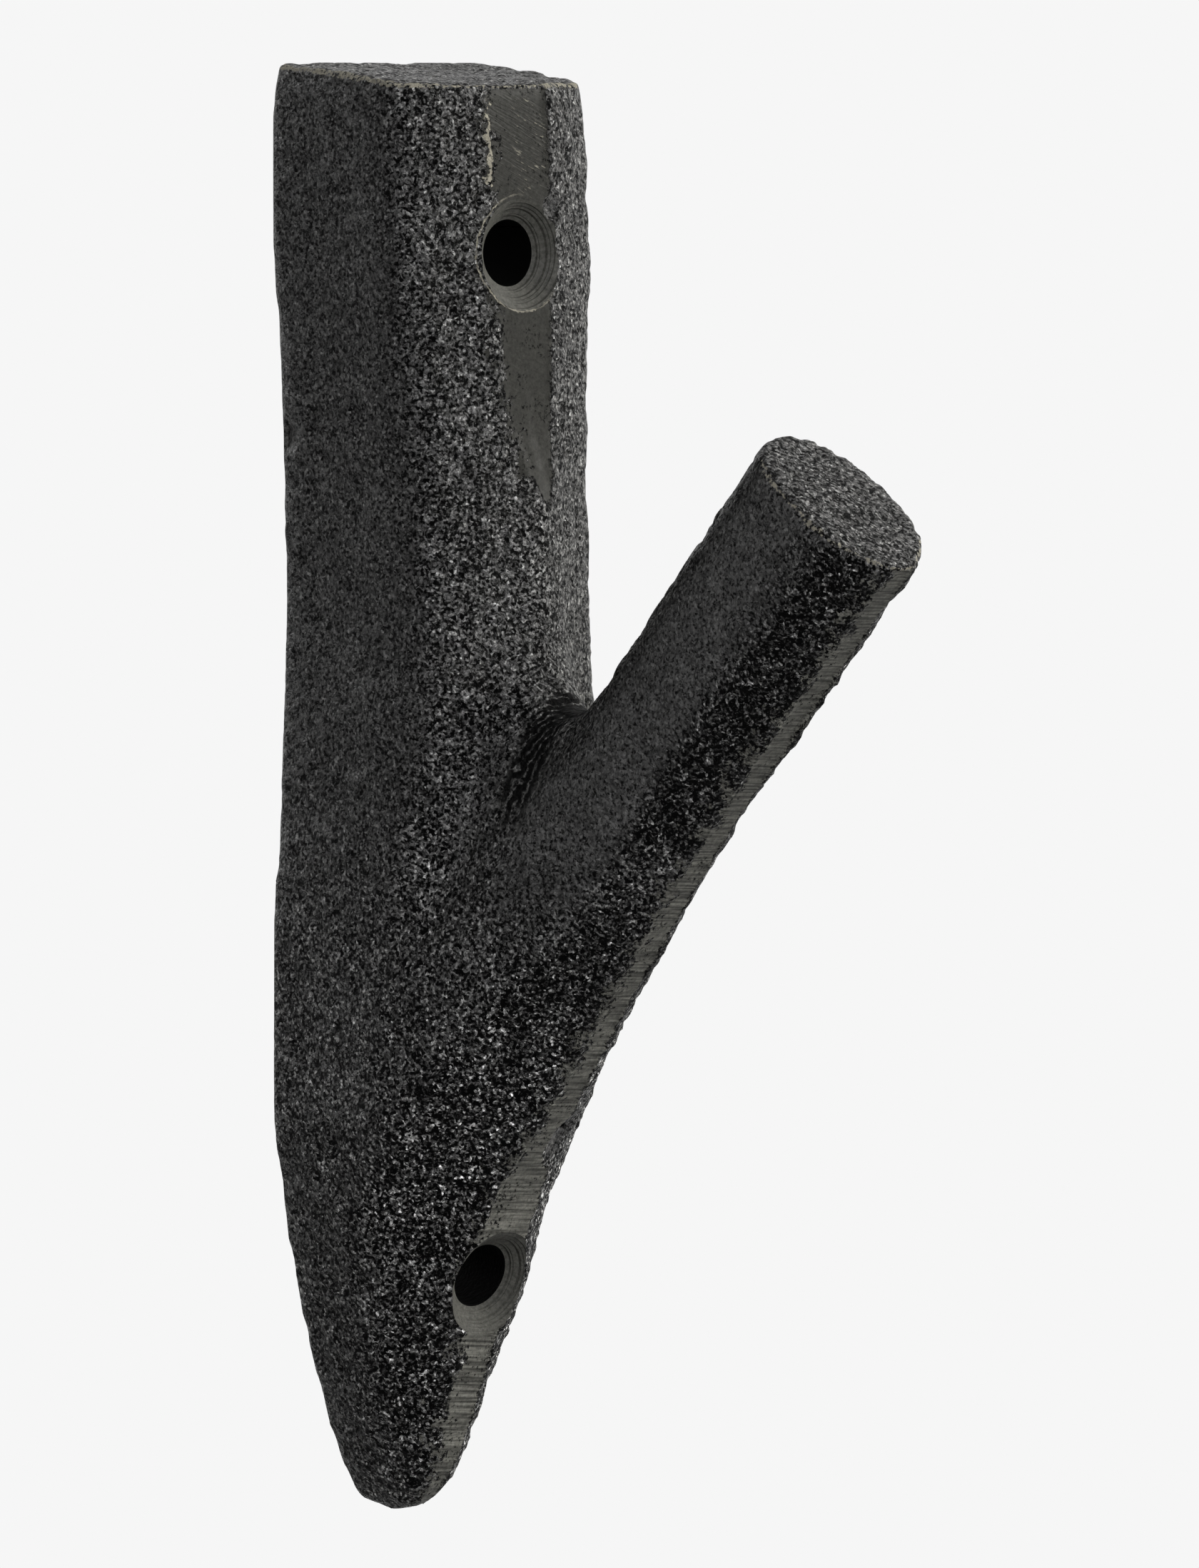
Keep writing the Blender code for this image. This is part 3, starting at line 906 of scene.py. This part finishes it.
def paint_relief(nodes, on, chips_and_rim_highlight):
    """Height of the fine relief, in millimetres."""
    lumpy = nodes.span(on.coarse, 0.6, 1.0, 0.20, 0.75)
    relief = nodes.total(
        nodes.times(on.tilt, 0.80),
        nodes.times(on.small_tilt, 0.90),
        nodes.times(on.skin, 0.40),
        nodes.times(nodes.grain(on.warped, 0.95 * MM, detail=2.0), lumpy),
        nodes.times(on.pit, -0.06))
    relief = nodes.times(relief, nodes.span(on.coarse, 0.0, 1.0, 0.25, 1.0, smooth=False))
    relief = nodes.total(relief, nodes.times(on.fan, on.in_crotch, 0.10))
    return nodes.total(
        nodes.times(relief, nodes.maths("SUBTRACT", 1.0, on.seam)),
        nodes.times(on.scratch, on.seam, on.scratch_depth, 0.06),
        nodes.times(chips_and_rim_highlight, -0.05))


def painted_iron(settings):
    """Black paint over sand-cast iron, with painted light and shade on its grain, painted shade in its pits,
    crotch and bores, a painted sheen on the peg and painted highlights, a satin ground seam, scratches and
    chips.
    """
    material = bpy.data.materials.new("black_painted_iron")
    material.use_nodes = True
    nodes = Nodes(material.node_tree)
    shader = material.node_tree.nodes["Principled BSDF"]
    on = paint_places(nodes)
    sand_print(nodes, on)
    ground_seam(nodes, on)
    grinding_scratches(nodes, on)
    light = grain_tone_and_painted_shading(nodes, on)
    shade_black = painted_shade_places(nodes, on, light)
    chips_and_rim_highlight = bare_chips_and_rim_highlight(nodes, on)

    cast = cast_colour(nodes, on, light, settings.paint)
    colour = nodes.blend(on.seam, cast, ground_colour(nodes, on, settings.ground))
    # Painted shade in black over the pits, the crotch and the bores, then the chips and the painted rim
    # highlight.
    colour = nodes.blend(shade_black, colour, rgba(settings.painted_shade_colour))
    colour = nodes.blend(chips_and_rim_highlight, colour, rgba(settings.chip_and_highlight_colour))
    nodes.link(colour, shader.inputs["Base Color"])
    # The black painted shade is made metallic, so that it throws no light back.
    nodes.link(nodes.times(shade_black, nodes.maths("SUBTRACT", 1.0, chips_and_rim_highlight)), shader.inputs["Metallic"])
    nodes.link(paint_roughness(nodes, on, shade_black, chips_and_rim_highlight), shader.inputs["Roughness"])
    shader.inputs["Specular IOR Level"].default_value = 0.08

    bump = nodes.add("ShaderNodeBump")
    bump.inputs["Strength"].default_value = 1.0
    bump.inputs["Distance"].default_value = MM
    nodes.link(paint_relief(nodes, on, chips_and_rim_highlight), bump.inputs["Height"])
    nodes.link(bump.outputs[0], shader.inputs["Normal"])
    return material


# The stage

FLOOR_RADIUS = 1.2
FLOOR_LIFT = 0.84
DIM_LIGHT = 0.06
LAMP_AIM = Vector((0.0, -0.025, 0.0))
LAMP_DISTANCE = 1.0
LAMP_SPREAD = math.radians(40.0)
# Soft boxes: name, direction from the hook, side in metres, power in watts, colour.
LAMPS = (
    ("key_panel", (0.80, -0.45, 0.40), 0.22, 0.37, (1.0, 0.985, 0.935)),
    ("front_panel", (-0.30, -0.85, 0.40), 0.40, 0.29, (0.965, 0.965, 1.0)),
    ("low_panel", (0.30, -0.80, -0.50), 0.40, 0.065, (1.0, 1.0, 0.97)),
    ("back_panel", (0.05, 0.90, 0.42), 0.40, 0.20, (1.0, 1.0, 1.0)),
)


def seen_straight(nodes):
    """1 for rays from the camera, off a glossy face or through glass, which should meet a pale studio."""
    path = nodes.add("ShaderNodeLightPath")
    seen = nodes.maths("MAXIMUM", path.outputs["Is Camera Ray"], path.outputs["Is Glossy Ray"])
    return nodes.maths("MAXIMUM", seen, path.outputs["Is Transmission Ray"])


def pale_floor(background):
    """Pale matt board, lifted to the background's brightness, that keeps the hook's shadow."""
    material = bpy.data.materials.new("pale_floor")
    material.use_nodes = True
    nodes = Nodes(material.node_tree)
    shader = material.node_tree.nodes["Principled BSDF"]
    output = next(node for node in material.node_tree.nodes if node.type == "OUTPUT_MATERIAL")
    place = nodes.add("ShaderNodeTexCoord").outputs["Object"]
    tone = nodes.span(nodes.grain(place, 0.05, detail=3.0), 0.3, 0.7, 0.82, 0.86, smooth=False)
    nodes.link(tone, shader.inputs["Base Color"])
    shader.inputs["Roughness"].default_value = 0.8
    lift = nodes.add("ShaderNodeEmission")
    lift.inputs["Color"].default_value = grey(background)
    nodes.link(nodes.times(seen_straight(nodes), FLOOR_LIFT), lift.inputs["Strength"])
    both = nodes.add("ShaderNodeAddShader")
    nodes.link(shader.outputs[0], both.inputs[0])
    nodes.link(lift.outputs[0], both.inputs[1])
    nodes.link(both.outputs[0], output.inputs["Surface"])
    return material


def panel_lamp(name, direction, size, power, colour):
    """A square soft box that looks at the hook."""
    light = bpy.data.lights.new(name, "AREA")
    light.shape = "SQUARE"
    light.size = size
    light.energy = power
    light.color = colour
    light.spread = LAMP_SPREAD
    lamp = bpy.data.objects.new(name, light)
    bpy.context.scene.collection.objects.link(lamp)
    out = Vector(direction).normalized()
    turn = out.to_track_quat("Z", "Y").to_matrix().to_4x4()
    lamp.matrix_world = Matrix.Translation(LAMP_AIM + out * LAMP_DISTANCE) @ turn


def pale_world(background):
    """White for what looks at it straight or in a reflection, and a dim even light for the rest."""
    world = bpy.data.worlds.new("pale_studio")
    world.use_nodes = True
    nodes = Nodes(world.node_tree)
    output = next(node for node in world.node_tree.nodes if node.type == "OUTPUT_WORLD")
    shown = next(node for node in world.node_tree.nodes if node.type == "BACKGROUND")
    shown.inputs["Color"].default_value = grey(background)
    glow = nodes.add("ShaderNodeBackground")
    glow.inputs["Color"].default_value = grey(DIM_LIGHT)
    mix = nodes.add("ShaderNodeMixShader")
    nodes.link(seen_straight(nodes), mix.inputs[0])
    nodes.link(glow.outputs[0], mix.inputs[1])
    nodes.link(shown.outputs[0], mix.inputs[2])
    nodes.link(mix.outputs[0], output.inputs["Surface"])
    bpy.context.scene.world = world


class HOOK_OT_make_stage(Operator):
    """Make the floor, the white background, the lamps and the camera"""

    bl_idname = "wall_hook.make_stage"
    bl_label = "Make Stage"
    bl_options = {"REGISTER", "UNDO"}

    def execute(self, context):
        settings = context.scene.hook_stage
        scene = context.scene
        scene.view_settings.view_transform = "Standard"
        pale_world(settings.background)

        bm = bmesh.new()
        bmesh.ops.create_circle(bm, cap_ends=True, segments=96, radius=FLOOR_RADIUS)
        bmesh.ops.translate(bm, verts=bm.verts, vec=(0.0, 0.0, -settings.floor_drop))
        floor = object_from(bm, "floor")
        floor.data.materials.append(pale_floor(settings.background))

        for lamp in LAMPS:
            panel_lamp(*lamp)

        az, el = settings.azimuth, settings.elevation
        toward = Vector((math.sin(az) * math.cos(el), -math.cos(az) * math.cos(el), math.sin(el)))
        data = bpy.data.cameras.new("photo_camera")
        data.sensor_width = 36.0
        data.sensor_fit = "AUTO"
        data.lens = data.sensor_width * settings.distance / settings.view_height
        data.clip_start = 0.01
        camera = bpy.data.objects.new("photo_camera", data)
        scene.collection.objects.link(camera)
        turn = toward.to_track_quat("Z", "Y").to_matrix().to_4x4()
        camera.matrix_world = Matrix.Translation(Vector(settings.aim) + toward * settings.distance) @ turn
        scene.camera = camera
        return {"FINISHED"}


# Add-on


class HOOK_PT_panel(Panel):
    """Lists what the hook is made of"""

    bl_idname = "HOOK_PT_panel"
    bl_label = "Wall Hook"
    bl_space_type = "VIEW_3D"
    bl_region_type = "UI"
    bl_category = "Wall Hook"

    def draw(self, context):
        layout = self.layout
        for group, operator in (
            (context.scene.hook_casting, HOOK_OT_make_casting.bl_idname),
            (context.scene.hook_paint, None),
            (context.scene.hook_stage, HOOK_OT_make_stage.bl_idname),
        ):
            box = layout.box()
            for name in group.__annotations__:
                box.prop(group, name)
            if operator:
                box.operator(operator)


CLASSES = (
    CastingSettings,
    PaintSettings,
    StageSettings,
    HOOK_OT_make_casting,
    HOOK_OT_make_stage,
    HOOK_PT_panel,
)


def register():
    for cls in CLASSES:
        bpy.utils.register_class(cls)
    bpy.types.Scene.hook_casting = PointerProperty(type=CastingSettings)
    bpy.types.Scene.hook_paint = PointerProperty(type=PaintSettings)
    bpy.types.Scene.hook_stage = PointerProperty(type=StageSettings)


def unregister():
    del bpy.types.Scene.hook_stage
    del bpy.types.Scene.hook_paint
    del bpy.types.Scene.hook_casting
    for cls in reversed(CLASSES):
        bpy.utils.unregister_class(cls)


def main():
    register()
    bpy.ops.wall_hook.make_stage()
    bpy.ops.wall_hook.make_casting()


if __name__ == "__main__":
    main()
